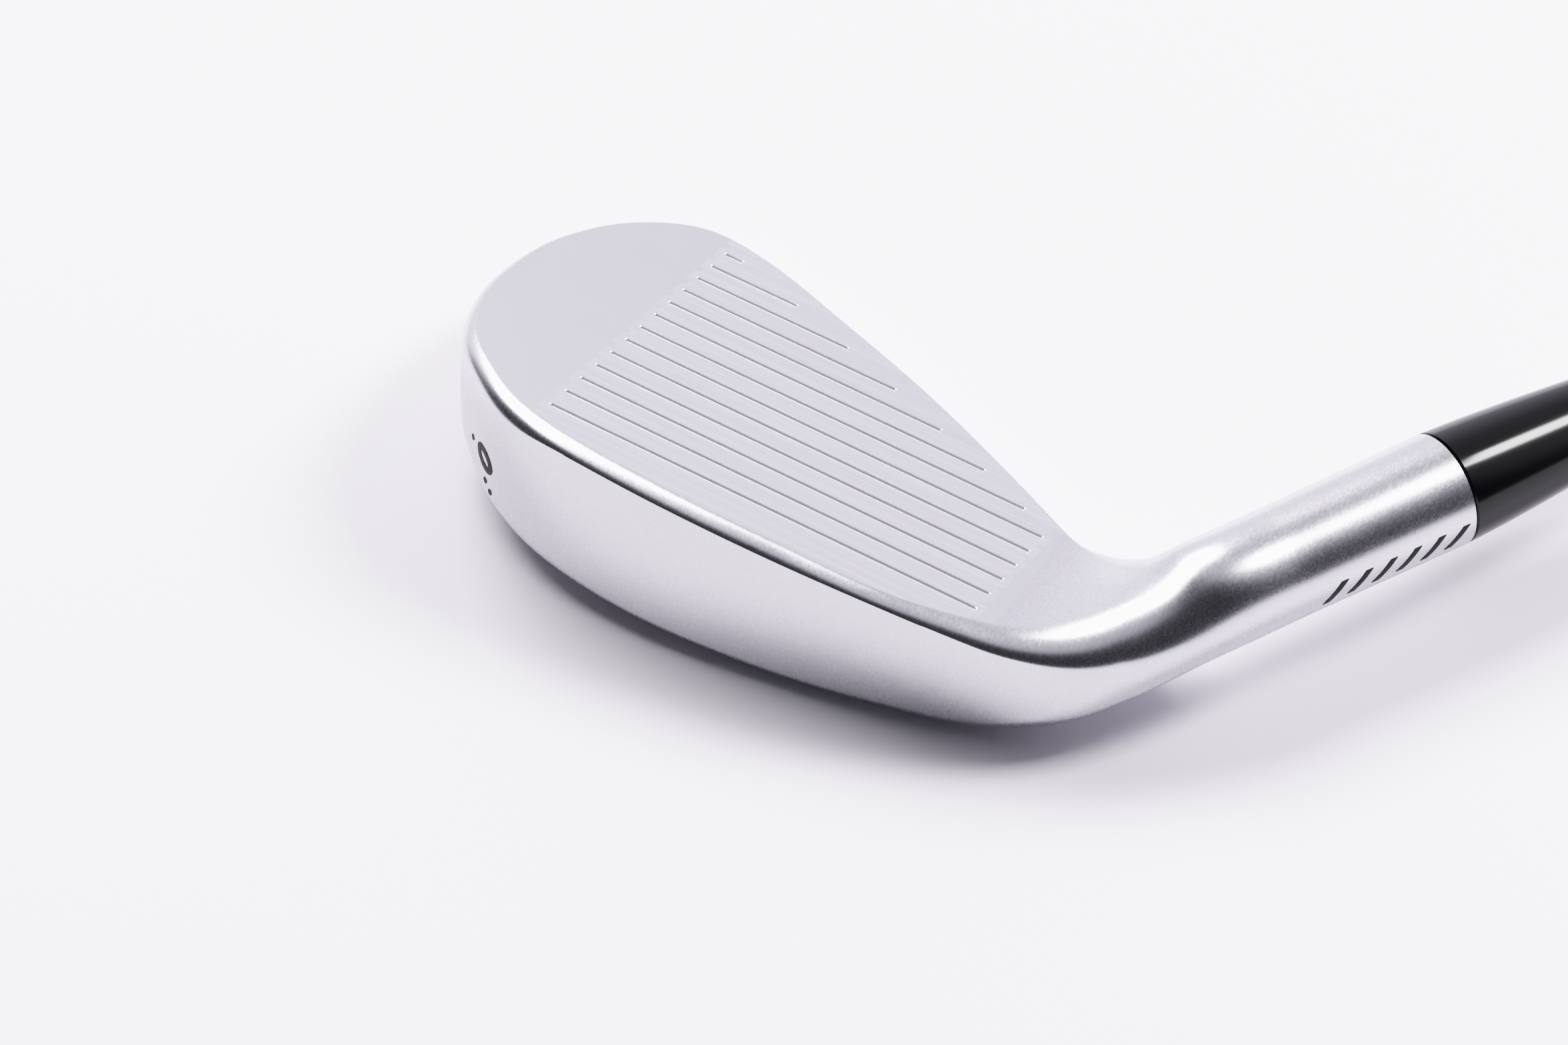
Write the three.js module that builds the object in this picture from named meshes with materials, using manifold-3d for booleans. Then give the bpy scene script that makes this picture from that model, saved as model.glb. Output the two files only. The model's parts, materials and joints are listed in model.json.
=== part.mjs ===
// Iron golf club: a long iron lying face up, as it lies on a table.
// Millimetres, +Z up, +X from the head to the butt of the grip.
//
// The head is drawn in its own frame:
//   x  along the score lines, from the toe to the heel, 0 at their toe ends
//   y  up the striking face, 0 on the lowest score line
//   z  out of the striking face, 0 on the face
// Distances along the shaft are measured from the top edge of the hosel, towards the grip.

import * as THREE from 'three';
import { mergeVertices } from 'three/addons/utils/BufferGeometryUtils.js';
import Module from 'manifold-3d';

const wasm = await Module();
wasm.setup();

// ---------------------------------------------------------------- driving dimensions

const LOFT = THREE.MathUtils.degToRad(20.3);
const LIE = THREE.MathUtils.degToRad(60.2);
const HOSEL_TOP = new THREE.Vector3(90.9, 41.1, 14.1);
const HOSEL_RADIUS = 6.75;
const NECK_RADIUS = 6.55;
const BORE_RADIUS = 5.2;
const BORE_DEPTH = 31;

const GROOVE_COUNT = 13;
const GROOVE_PITCH = 3.7;
const GROOVE_WIDTH = 0.8;
const GROOVE_DEPTH = 0.5;
const FULL_GROOVE_LENGTH = 54.5;
const FULL_GROOVES = 6;
const FIRST_SHORT_GROOVE = 50.6;
const GROOVE_SHORTENING = 6.6;
const GROOVE_CURVING = 0.225;

const CAVITY_FLOOR = -3.4;
const CAVITY_CORNER = 4.5;

const BUTT_END = 928;
const GRIP_LENGTH = 268;
const TIP_RADIUS = 4.7;
const BUTT_RADIUS = 7.62;
const FIRST_STEP = 200;
const LAST_STEP = 640;
const STEP_COUNT = 14;
const TIP_WALL = 0.6;
const BUTT_WALL = 0.4;
const SHAFT_TIP = -30;
const SHAFT_BUTT = 924;
const CLEARANCE = 0.15;
const ROUND_SEGMENTS = 28;

// How the club lies: turned about the shaft, and pitched down towards the grip.
const REST_ROLL = THREE.MathUtils.degToRad(4.136);
const REST_PITCH = THREE.MathUtils.degToRad(0.0387);

// ---------------------------------------------------------------- directions in the head frame

const SHAFT_AXIS = new THREE.Vector3(
  Math.cos(LIE),
  Math.sin(LIE) * Math.cos(LOFT),
  Math.sin(LIE) * Math.sin(LOFT)
);
const TARGET = new THREE.Vector3(0, -Math.sin(LOFT), Math.cos(LOFT));
const CROTCH_SIDE = new THREE.Vector3().crossVectors(TARGET, SHAFT_AXIS);

function onShaft(distance) {
  return HOSEL_TOP.clone().addScaledVector(SHAFT_AXIS, distance);
}

// ---------------------------------------------------------------- solids and cuts

function outward(geometry) {
  const bare = geometry.clone();
  bare.deleteAttribute('normal');
  bare.deleteAttribute('uv');
  const merged = mergeVertices(bare, 1e-5);
  const position = merged.attributes.position;
  const corners = merged.index.array;
  const kept = [];
  let volume = 0;
  const a = new THREE.Vector3();
  const b = new THREE.Vector3();
  const c = new THREE.Vector3();
  for (let i = 0; i < corners.length; i += 3) {
    const [p, q, r] = [corners[i], corners[i + 1], corners[i + 2]];
    if (p === q || q === r || r === p) continue;
    a.fromBufferAttribute(position, p);
    b.fromBufferAttribute(position, q);
    c.fromBufferAttribute(position, r);
    volume += a.dot(b.cross(c));
    kept.push(p, q, r);
  }
  if (volume < 0) kept.reverse();
  merged.setIndex(kept);
  return merged;
}

function toSolid(geometry) {
  const body = outward(geometry);
  return new wasm.Manifold(new wasm.Mesh({
    numProp: 3,
    vertProperties: new Float32Array(body.attributes.position.array),
    triVerts: new Uint32Array(body.index.array)
  }));
}

function toGeometry(solid) {
  const mesh = solid.getMesh();
  const geometry = new THREE.BufferGeometry();
  geometry.setAttribute('position', new THREE.BufferAttribute(new Float32Array(mesh.vertProperties), 3));
  geometry.setIndex(Array.from(mesh.triVerts));
  return geometry;
}

function turned(profile, segments = ROUND_SEGMENTS) {
  const points = profile.map(([distance, radius]) => new THREE.Vector2(radius, distance));
  return outward(new THREE.LatheGeometry(points, segments));
}

// A tube from an outer and an inner line of [distance, radius], both drawn from tip to butt.
function sleeve(outer, inner) {
  return turned([...outer, ...[...inner].reverse(), outer[0]]);
}

const shaftPlace = new THREE.Matrix4().compose(
  HOSEL_TOP,
  new THREE.Quaternion().setFromUnitVectors(new THREE.Vector3(0, 1, 0), SHAFT_AXIS),
  new THREE.Vector3(1, 1, 1)
);

// ---------------------------------------------------------------- head surface
//
// The skin is a run of half sections. Each leaves a point on the middle line of the face, turns
// at the face edge, crosses the sole (or toe, or topline), turns at the back edge and ends on
// the middle line of the back. The run starts at the hosel's outer side, goes along the sole,
// round the toe, back along the topline and up the hosel's inner side.

// front and back middle points of the stations shared by the sole run and the topline run
const MIDDLE = {
  neck: [[70.2, 10.2, 6.6], [71.6, 15.0, -3.6]],
  heel: [[65.0, 9.2, 2.6], [66.5, 13.2, -6.0]],
  heelEnd: [[58.5, 8.6, 0], [58.5, 13.0, -7.4]],
  far: [[46, 11, 0], [46, 14.5, -7.8]],
  middle: [[32, 14, 0], [32, 17, -7.8]],
  near: [[18, 17, 0], [18, 19.5, -7.8]],
  toe: [[5, 20, 0], [5, 22, -7.8]]
};

// face edge corner, back edge corner, how far each rounding reaches (face, wall, wall, back), bulge
function station(middle, faceEdge, backEdge, reach, bulge) {
  return { front: MIDDLE[middle][0], faceEdge, backEdge, back: MIDDLE[middle][1], reach, bulge: [bulge] };
}

function hoselStation(distance, radius, side) {
  const centre = onShaft(distance);
  const front = centre.clone().addScaledVector(TARGET, radius);
  const back = centre.clone().addScaledVector(TARGET, -radius);
  const aside = CROTCH_SIDE.clone().multiplyScalar(radius * side);
  return {
    front: front.toArray(),
    faceEdge: front.clone().add(aside).toArray(),
    backEdge: back.clone().add(aside).toArray(),
    back: back.toArray(),
    reach: [radius, radius, radius, radius],
    bulge: [0]
  };
}

const HOSEL_STATIONS = [[0, HOSEL_RADIUS], [-11, 6.64], [-22, NECK_RADIUS], [-33, NECK_RADIUS]];

const soleRun = [
  ...HOSEL_STATIONS.map(([distance, radius]) => hoselStation(distance, radius, -1)),
  station('neck', [73.4, 3.9, 5.4], [76.2, 6.2, -5.6], [6.8, 4.9, 6.0, 6.0], 0.1),
  station('heel', [67.6, -0.1, 2.4], [71.0, 1.2, -9.8], [6.2, 3.6, 5.0, 5.0], 0.6),
  station('heelEnd', [58.9, -3.2, 0], [61.0, 0.2, -15.2], [3.2, 1.9, 3.5, 5.0], 1.0),
  station('far', [46, -5.6, 0], [46, -1.9, -17.8], [1.1, 0.9, 3.0, 4.0], 1.1),
  station('middle', [32, -6.1, 0], [32, -3.2, -19.5], [1.1, 1.1, 3.0, 4.0], 1.2),
  station('near', [18, -6.1, 0], [18, -3.7, -20.1], [1.2, 1.1, 3.0, 4.0], 1.2),
  station('toe', [5, -5.2, 0], [6, -2.4, -19.7], [1.4, 1.2, 3.2, 4.0], 1.1)
];

const toeRun = [
  station('toe', [-3, -3.5, 0], [-2.5, 0.9, -18.9], [1.7, 2.0, 3.5, 4.0], 0.9),
  station('toe', [-9, 0.6, 0], [-8.6, 4.9, -16.9], [1.5, 1.9, 3.5, 4.0], 0.8),
  station('toe', [-14.2, 6.4, 0], [-13.2, 10.0, -14.6], [1.2, 1.6, 3.5, 4.0], 0.7),
  station('toe', [-17.0, 14.5, 0], [-15.7, 16.8, -11.8], [0.9, 1.2, 3.0, 3.5], 0.5),
  station('toe', [-17.6, 23.5, 0], [-16.5, 24.0, -9.4], [0.8, 1.0, 2.4, 3.0], 0.4),
  station('toe', [-16.2, 33, 0], [-15.5, 32.6, -8.0], [0.7, 0.9, 2.0, 2.4], 0.3),
  station('toe', [-11.8, 42.2, 0], [-11.3, 41.6, -7.0], [0.7, 0.8, 1.8, 2.0], 0.2),
  station('toe', [-4.4, 48.2, 0], [-4.1, 47.5, -6.6], [0.7, 0.8, 1.6, 2.0], 0.2)
];

const toplineRun = [
  station('toe', [5, 47.4, 0], [5, 46.6, -6.6], [0.6, 0.8, 1.6, 2.0], 0.2),
  station('near', [18, 42.2, 0], [18, 41.4, -6.5], [0.6, 0.8, 1.6, 2.0], 0.2),
  station('middle', [32, 35.9, 0], [32, 35.1, -6.4], [0.6, 0.8, 1.6, 2.0], 0.2),
  station('far', [46, 28.2, 0], [46, 27.4, -6.3], [0.7, 0.9, 1.6, 2.0], 0.2),
  station('heelEnd', [57.6, 21.4, 0], [58.2, 21.2, -6.0], [1.2, 1.6, 2.4, 2.4], 0.2),
  station('heel', [63.2, 19.6, 3.0], [64.0, 20.6, -5.0], [4.2, 3.6, 3.2, 3.2], 0.1),
  station('neck', [66.2, 16.0, 7.4], [66.8, 19.4, -3.2], [6.6, 5.4, 5.4, 5.4], 0),
  ...[...HOSEL_STATIONS].reverse().map(([distance, radius]) => hoselStation(distance, radius, 1))
];

const STATIONS = [...soleRun, ...toeRun, ...toplineRun];
const STEPS_PER_STATION = 3;
const SECTION_STEPS = { face: 1, faceEdge: 3, wall: 2, backEdge: 3, back: 3 };
const ARC_HANDLE = 0.5523;
const FULL_WALL = 3;

function smooth(before, from, to, after, t) {
  return from.map((value, i) => 0.5 * (
    2 * value
    + (to[i] - before[i]) * t
    + (2 * before[i] - 5 * value + 4 * to[i] - after[i]) * t * t
    + (3 * value - before[i] - 3 * to[i] + after[i]) * t * t * t
  ));
}

function extended(from, to) {
  return from.map((value, i) => 2 * value - to[i]);
}

function sectionAt(place) {
  const last = STATIONS.length - 1;
  const index = Math.min(Math.floor(place), last - 1);
  const from = STATIONS[index];
  const to = STATIONS[index + 1];
  const section = {};
  for (const key of Object.keys(from)) {
    const before = index > 0 ? STATIONS[index - 1][key] : extended(from[key], to[key]);
    const after = index < last - 1 ? STATIONS[index + 2][key] : extended(to[key], from[key]);
    section[key] = smooth(before, from[key], to[key], after, place - index);
  }
  // the face stays flat, and the middle lines end where the toe's half sections meet
  section.front[2] = Math.max(section.front[2], 0);
  section.faceEdge[2] = Math.max(section.faceEdge[2], 0);
  for (const [key, end] of [['front', MIDDLE.toe[0]], ['back', MIDDLE.toe[1]]]) {
    section[key][0] = Math.max(section[key][0], end[0]);
    section[key][1] = section[key][0] > end[0] ? section[key][1] : end[1];
  }
  return section;
}

function curvePoints(curve, steps) {
  return Array.from({ length: steps }, (_, i) => curve.getPoint(i / steps));
}

function rounding(start, corner, end) {
  return new THREE.CubicBezierCurve3(
    start,
    start.clone().lerp(corner, ARC_HANDLE),
    end.clone().lerp(corner, ARC_HANDLE),
    end
  );
}

function reachFrom(corner, way, distance) {
  return corner.clone().addScaledVector(way.clone().normalize(), distance);
}

function halfSection(place) {
  const section = sectionAt(place);
  const front = new THREE.Vector3(...section.front);
  const faceEdge = new THREE.Vector3(...section.faceEdge);
  const backEdge = new THREE.Vector3(...section.backEdge);
  const back = new THREE.Vector3(...section.back);
  const [onFace, onWall, onWallBack, onBack] = section.reach;

  const toMiddle = front.clone().sub(faceEdge);
  const along = backEdge.clone().sub(faceEdge);
  const toBack = back.clone().sub(backEdge);
  const halfWall = along.length() / 2;
  const start = reachFrom(faceEdge, toMiddle, Math.min(onFace, toMiddle.length()));
  const wallStart = reachFrom(faceEdge, along, Math.min(onWall, halfWall));
  const wallEnd = reachFrom(backEdge, along, -Math.min(onWallBack, halfWall));
  const backStart = reachFrom(backEdge, toBack, Math.min(onBack, toBack.length()));

  // the back leaves its edge straight and arrives at the middle line flat
  const reach = back.distanceTo(backStart);
  const flat = new THREE.Vector3(back.x - backStart.x, back.y - backStart.y, 0).normalize();
  const backSweep = new THREE.CubicBezierCurve3(
    backStart,
    backStart.clone().addScaledVector(toBack.clone().normalize(), reach * 0.33),
    back.clone().addScaledVector(flat, -reach * 0.45),
    back
  );
  const points = [
    ...curvePoints(new THREE.LineCurve3(front, start), SECTION_STEPS.face),
    ...curvePoints(rounding(start, faceEdge, wallStart), SECTION_STEPS.faceEdge),
    ...curvePoints(new THREE.LineCurve3(wallStart, wallEnd), SECTION_STEPS.wall),
    ...curvePoints(rounding(wallEnd, backEdge, backStart), SECTION_STEPS.backEdge),
    ...curvePoints(backSweep, SECTION_STEPS.back),
    back
  ];

  // the sole and the toe are slightly full, and less so where their wall is short
  const fullness = section.bulge[0] * Math.min(wallStart.distanceTo(wallEnd) / FULL_WALL, 1);
  const out = toMiddle.clone().cross(along).cross(along).normalize();
  const first = SECTION_STEPS.face;
  const span = SECTION_STEPS.faceEdge + SECTION_STEPS.wall + SECTION_STEPS.backEdge;
  points.forEach((point, i) => {
    const share = THREE.MathUtils.clamp((i - first) / span, 0, 1);
    point.addScaledVector(out, fullness * Math.sin(Math.PI * share) ** 2);
  });
  return points;
}

function headSkin() {
  const count = (STATIONS.length - 1) * STEPS_PER_STATION;
  const rows = Array.from({ length: count + 1 }, (_, i) => halfSection(i / STEPS_PER_STATION));
  const corners = [];
  for (let i = 0; i < count; i++) {
    for (let j = 0; j < rows[i].length - 1; j++) {
      const [a, b, c, d] = [rows[i][j], rows[i][j + 1], rows[i + 1][j + 1], rows[i + 1][j]];
      corners.push(a, b, c, a, c, d);
    }
  }
  // the top of the hosel closes the two ends of the run
  const rim = [...rows[0], ...[...rows[count]].reverse().slice(1, -1)];
  rim.forEach((point, i) => corners.push(HOSEL_TOP, rim[(i + 1) % rim.length], point));
  const geometry = new THREE.BufferGeometry().setFromPoints(corners);
  geometry.setIndex(corners.map((_, i) => i));
  return geometry;
}

// ---------------------------------------------------------------- cuts in the head

// A closed outline through corner points, with every corner rounded.
function roundedOutline(points, radius) {
  const shape = new THREE.Shape();
  points.forEach(([x, y], i) => {
    const corner = new THREE.Vector2(x, y);
    const before = new THREE.Vector2(...points[(i + points.length - 1) % points.length]).sub(corner);
    const after = new THREE.Vector2(...points[(i + 1) % points.length]).sub(corner);
    const enter = corner.clone().addScaledVector(before.normalize(), radius);
    const leave = corner.clone().addScaledVector(after.normalize(), radius);
    if (i === 0) shape.moveTo(enter.x, enter.y);
    else shape.lineTo(enter.x, enter.y);
    shape.quadraticCurveTo(corner.x, corner.y, leave.x, leave.y);
  });
  shape.closePath();
  return shape;
}

// The upper grooves stop short of the topline, each by a little more than the one below it.
function grooveLength(index) {
  const above = index - FULL_GROOVES;
  if (above < 0) return FULL_GROOVE_LENGTH;
  return FIRST_SHORT_GROOVE - GROOVE_SHORTENING * above - GROOVE_CURVING * above ** 2;
}

function grooveCut(index) {
  const length = grooveLength(index);
  const radius = GROOVE_WIDTH / 2;
  const outline = new THREE.Shape();
  outline.moveTo(radius, -radius);
  outline.lineTo(length - radius, -radius);
  outline.absarc(length - radius, 0, radius, -Math.PI / 2, Math.PI / 2, false);
  outline.lineTo(radius, radius);
  outline.absarc(radius, 0, radius, Math.PI / 2, Math.PI * 1.5, false);
  const above = 1;
  const cut = new THREE.ExtrudeGeometry(outline, {
    depth: GROOVE_DEPTH + above,
    bevelEnabled: false,
    curveSegments: 4
  });
  cut.translate(0, index * GROOVE_PITCH, -GROOVE_DEPTH);
  return cut;
}

const CAVITY_OUTLINE = [[-10.5, 12], [49.5, 7.5], [51.5, 19.2], [6, 40.8], [-4.5, 41.5], [-11.8, 31]];

function cavityCut() {
  const depth = 30;
  const cut = new THREE.ExtrudeGeometry(roundedOutline(CAVITY_OUTLINE, CAVITY_CORNER), {
    depth,
    bevelEnabled: false,
    curveSegments: 4
  });
  cut.translate(0, 0, CAVITY_FLOOR - depth);
  return cut;
}

function boreCut() {
  const above = 5;
  const bore = turned([[-BORE_DEPTH, 0], [-BORE_DEPTH, BORE_RADIUS], [above, BORE_RADIUS], [above, 0]]);
  return bore.applyMatrix4(shaftPlace);
}

function headBody() {
  let solid = toSolid(headSkin());
  const cuts = [boreCut(), cavityCut()];
  for (let i = 0; i < GROOVE_COUNT; i++) cuts.push(grooveCut(i));
  for (const cut of cuts) solid = solid.subtract(toSolid(cut));
  return toGeometry(solid);
}

// ---------------------------------------------------------------- shaft line

const GRIP_MOUTH = BUTT_END - GRIP_LENGTH;
const TAPE_THICKNESS = 0.3;
const TAPE_INNER = BUTT_RADIUS + CLEARANCE;
const GRIP_INNER = TAPE_INNER + TAPE_THICKNESS + CLEARANCE;
const CAP_THICKNESS = 3.2;

function steppedShaft() {
  const outer = [[SHAFT_TIP, TIP_RADIUS]];
  const stepLength = (LAST_STEP - FIRST_STEP) / (STEP_COUNT - 1);
  const stepRise = (BUTT_RADIUS - TIP_RADIUS) / STEP_COUNT;
  const blend = 1.2;
  for (let i = 0; i < STEP_COUNT; i++) {
    const distance = FIRST_STEP + i * stepLength;
    outer.push([distance, TIP_RADIUS + i * stepRise]);
    outer.push([distance + blend, TIP_RADIUS + (i + 1) * stepRise]);
  }
  outer.push([SHAFT_BUTT, BUTT_RADIUS]);
  const inner = [
    [SHAFT_TIP, TIP_RADIUS - TIP_WALL],
    [FIRST_STEP, TIP_RADIUS - TIP_WALL],
    [LAST_STEP, BUTT_RADIUS - BUTT_WALL],
    [SHAFT_BUTT, BUTT_RADIUS - BUTT_WALL]
  ];
  return sleeve(outer, inner);
}

// The bond line fills the hosel around the shaft tip.
function hoselBond() {
  const inside = TIP_RADIUS + CLEARANCE;
  const outside = BORE_RADIUS - CLEARANCE;
  return sleeve([[-29, outside], [-0.5, outside]], [[-29, inside], [-0.5, inside]]);
}

// A headed pin in the open tip of the shaft, which trims the swing weight.
function tipWeight() {
  const pin = TIP_RADIUS - TIP_WALL - 0.3;
  const seat = SHAFT_TIP - 0.3;
  const head = [[seat - 0.5, 0], [seat - 0.5, TIP_RADIUS], [seat, TIP_RADIUS]];
  return turned([...head, [seat, pin], [-14, pin], [-13, pin - 1], [-13, 0]]);
}

function ferrule() {
  const inside = TIP_RADIUS + CLEARANCE;
  const outer = [[0.3, 6.72], [5, 6.52], [10, 6.2], [15, 5.82], [20, 5.4], [24.2, 5.08], [25, 4.96]];
  return sleeve(outer, [[0.3, inside], [25, inside]]);
}

function shaftLabel() {
  const inside = BUTT_RADIUS + CLEARANCE;
  const outside = inside + 0.2;
  return sleeve([[645, outside], [658, outside]], [[645, inside], [658, inside]]);
}

function gripTape() {
  const outside = TAPE_INNER + TAPE_THICKNESS;
  const from = GRIP_MOUTH + 4;
  const to = SHAFT_BUTT - 1;
  return sleeve([[from, outside], [to, outside]], [[from, TAPE_INNER], [to, TAPE_INNER]]);
}

function grip() {
  const end = BUTT_END - CAP_THICKNESS - 0.3;
  const outer = [
    [GRIP_MOUTH, 9.0],
    [GRIP_MOUTH + 1.2, 9.6],
    [GRIP_MOUTH + 3.8, 9.6],
    [GRIP_MOUTH + 5, 9.1],
    [GRIP_MOUTH + 60, 9.9],
    [GRIP_MOUTH + 130, 10.8],
    [GRIP_MOUTH + 200, 12.0],
    [GRIP_MOUTH + 245, 13.0],
    [end - 5, 13.4],
    [end, 13.4]
  ];
  return sleeve(outer, [[GRIP_MOUTH, GRIP_INNER], [end, GRIP_INNER]]);
}

// The butt cap closes the grip, with a small vent in its middle.
function gripCap() {
  const from = BUTT_END - CAP_THICKNESS;
  const vent = 1.5;
  const outer = [[from, 13.4], [BUTT_END - 1.6, 13.1], [BUTT_END - 0.5, 12.0], [BUTT_END, 10.6]];
  return sleeve(outer, [[from, vent], [BUTT_END, vent]]);
}

// ---------------------------------------------------------------- assembly

const steel = { color: 0xcfccda, roughness: 0.34, metalness: 1 };
const satinSteel = { color: 0xd6d6dc, roughness: 0.18, metalness: 1 };
const blackPlastic = { color: 0x101010, roughness: 0.15, metalness: 0 };
const rubber = { color: 0x161616, roughness: 0.75, metalness: 0 };
const amber = { color: 0xb9a35c, roughness: 0.5, metalness: 0 };
const paper = { color: 0xd8d4c8, roughness: 0.8, metalness: 0 };
const brass = { color: 0xc9a24a, roughness: 0.35, metalness: 1 };
const silverFilm = { color: 0xb8bac2, roughness: 0.4, metalness: 0.3 };

function piece(name, geometry, look) {
  const mesh = new THREE.Mesh(geometry, new THREE.MeshStandardMaterial(look));
  mesh.name = name;
  return mesh;
}

const shaftLine = new THREE.Group();
shaftLine.applyMatrix4(shaftPlace);
shaftLine.add(
  piece('shaft', steppedShaft(), satinSteel),
  piece('hosel_bond', hoselBond(), amber),
  piece('tip_weight', tipWeight(), brass),
  piece('ferrule', ferrule(), blackPlastic),
  piece('shaft_label', shaftLabel(), silverFilm),
  piece('grip_tape', gripTape(), paper),
  piece('grip', grip(), rubber),
  piece('grip_cap', gripCap(), rubber)
);

const clubInHeadFrame = new THREE.Group();
clubInHeadFrame.add(piece('head', headBody(), steel), shaftLine);

// Table normal in the head frame: square to the shaft on the face side, then rolled and pitched.
function tableNormal() {
  const faceNormal = new THREE.Vector3(0, 0, 1);
  const square = faceNormal.addScaledVector(SHAFT_AXIS, -SHAFT_AXIS.z).normalize();
  square.applyAxisAngle(SHAFT_AXIS, REST_ROLL);
  return square.multiplyScalar(Math.cos(REST_PITCH)).addScaledVector(SHAFT_AXIS, Math.sin(REST_PITCH));
}

const up = tableNormal();
const lengthways = SHAFT_AXIS.clone().addScaledVector(up, -SHAFT_AXIS.dot(up)).normalize();
const crossways = new THREE.Vector3().crossVectors(up, lengthways);
const lying = new THREE.Matrix4().makeBasis(lengthways, crossways, up).transpose();
clubInHeadFrame.applyMatrix4(lying);

const club = new THREE.Group();
club.add(clubInHeadFrame);
club.updateMatrixWorld(true);
const box = new THREE.Box3().setFromObject(club, true);
const boxCentre = box.getCenter(new THREE.Vector3());
club.position.set(-boxCentre.x, -boxCentre.y, -box.min.z);

export default club;
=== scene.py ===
import json
from math import cos, exp, pi, radians, sin

import bmesh
import bpy
import numpy as np
from mathutils import Matrix, Vector


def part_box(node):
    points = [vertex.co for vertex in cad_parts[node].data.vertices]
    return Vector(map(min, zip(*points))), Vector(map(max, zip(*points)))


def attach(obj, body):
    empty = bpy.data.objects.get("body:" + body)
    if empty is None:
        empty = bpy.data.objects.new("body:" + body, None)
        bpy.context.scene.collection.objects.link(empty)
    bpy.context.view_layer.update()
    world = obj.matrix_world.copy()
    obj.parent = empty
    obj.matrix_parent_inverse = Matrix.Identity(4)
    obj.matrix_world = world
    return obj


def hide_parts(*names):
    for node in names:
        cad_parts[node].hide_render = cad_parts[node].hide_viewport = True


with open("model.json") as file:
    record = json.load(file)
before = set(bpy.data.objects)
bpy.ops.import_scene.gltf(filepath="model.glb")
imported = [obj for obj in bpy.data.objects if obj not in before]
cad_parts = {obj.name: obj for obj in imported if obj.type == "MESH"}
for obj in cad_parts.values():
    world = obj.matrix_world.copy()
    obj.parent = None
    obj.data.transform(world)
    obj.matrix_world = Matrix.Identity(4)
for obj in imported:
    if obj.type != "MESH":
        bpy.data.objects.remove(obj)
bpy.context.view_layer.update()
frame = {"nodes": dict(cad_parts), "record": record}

MM = 0.001

# ---------------------------------------------------------------- driving dimensions (mm, head frame)
# x runs along the score lines from the toe to the heel, y up the face, z out of the face.

LOFT = radians(20.3)
LIE = radians(60.2)
HOSEL_TOP = np.array([90.9, 41.1, 14.1])
HOSEL_RADIUS = 6.75
NECK_RADIUS = 6.55
BORE_RADIUS = 5.2
BORE_DEPTH = 31

GROOVE_COUNT = 13
GROOVE_PITCH = 3.7
GROOVE_WIDTH = 0.84
GROOVE_PROFILE = [(-0.27, 0.16), (-0.24, 0.22), (-0.10, 0.30), (-0.035, 0.36), (0, 0.42), (0.4, 1.1)]
FULL_GROOVE_LENGTH = 54.5
FULL_GROOVES = 6
SHORT_GROOVES = [50.6, 43.8, 36.4, 28.7, 20.6, 12.0, 2.8]

CAVITY_FLOOR = -3.4
CAVITY_CORNER = 4.5
CAVITY_OUTLINE = [(-10.5, 12), (49.5, 7.5), (51.5, 19.2), (6, 40.8), (-4.5, 41.5), (-11.8, 31)]

BUTT_END = 928
GRIP_LENGTH = 268
GRIP_MOUTH = BUTT_END - GRIP_LENGTH
TIP_RADIUS = 4.7
BUTT_RADIUS = 7.62
FIRST_STEP = 200
LAST_STEP = 640
STEP_COUNT = 14
TIP_WALL = 0.6
BUTT_WALL = 0.4
SHAFT_TIP = -30
SHAFT_BUTT = 924
CLEARANCE = 0.15

REST_ROLL = radians(4.136)
REST_PITCH = radians(0.0387)

# ---------------------------------------------------------------- where the head frame lies

SHAFT_AXIS = np.array([cos(LIE), sin(LIE) * cos(LOFT), sin(LIE) * sin(LOFT)])
TARGET = np.array([0, -sin(LOFT), cos(LOFT)])
CROTCH_SIDE = np.cross(TARGET, SHAFT_AXIS)
FACE_MOUNT = (27, 12.95, 0)
TINY = 1e-9


def unit(vector):
    length = np.linalg.norm(vector)
    return vector / length if length > TINY else vector * 0


def head_placement():
    """Head frame to row frame: turned to the way the club lies, with the face mount at its recorded place."""
    square = unit(np.array([0, 0, 1]) - SHAFT_AXIS * SHAFT_AXIS[2])
    square = square * cos(REST_ROLL) + np.cross(SHAFT_AXIS, square) * sin(REST_ROLL)
    up = square * cos(REST_PITCH) + SHAFT_AXIS * sin(REST_PITCH)
    along = unit(SHAFT_AXIS - up * (SHAFT_AXIS @ up))
    turn = np.array([along, np.cross(up, along), up])
    mounts = {mount["name"]: mount for mount in frame["record"]["mounts"]}
    place = np.array(mounts["striking_face"]["pos_m"]) - turn @ (np.array(FACE_MOUNT) * MM)
    return Matrix([[*turn[i], place[i]] for i in range(3)] + [[0, 0, 0, 1]])


HEAD = head_placement()
SHAFT_FRAME = HEAD @ Matrix([
    [CROTCH_SIDE[i], np.cross(SHAFT_AXIS, CROTCH_SIDE)[i], SHAFT_AXIS[i], HOSEL_TOP[i] * MM] for i in range(3)
] + [[0, 0, 0, 1]])


# ---------------------------------------------------------------- mesh helpers

WELD_DISTANCE = 0.001 * MM
FLAT_ENOUGH = 0.99995


def new_object(name, points, faces, matrix):
    """A mesh object with its points, in mm, placed by the matrix."""
    mesh = bpy.data.meshes.new(name)
    mesh.from_pydata([tuple(point) for point in np.asarray(points) * MM], [], faces)
    mesh.transform(matrix)
    mesh.update()
    thing = bpy.data.objects.new(name, mesh)
    bpy.context.scene.collection.objects.link(thing)
    return thing


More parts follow.
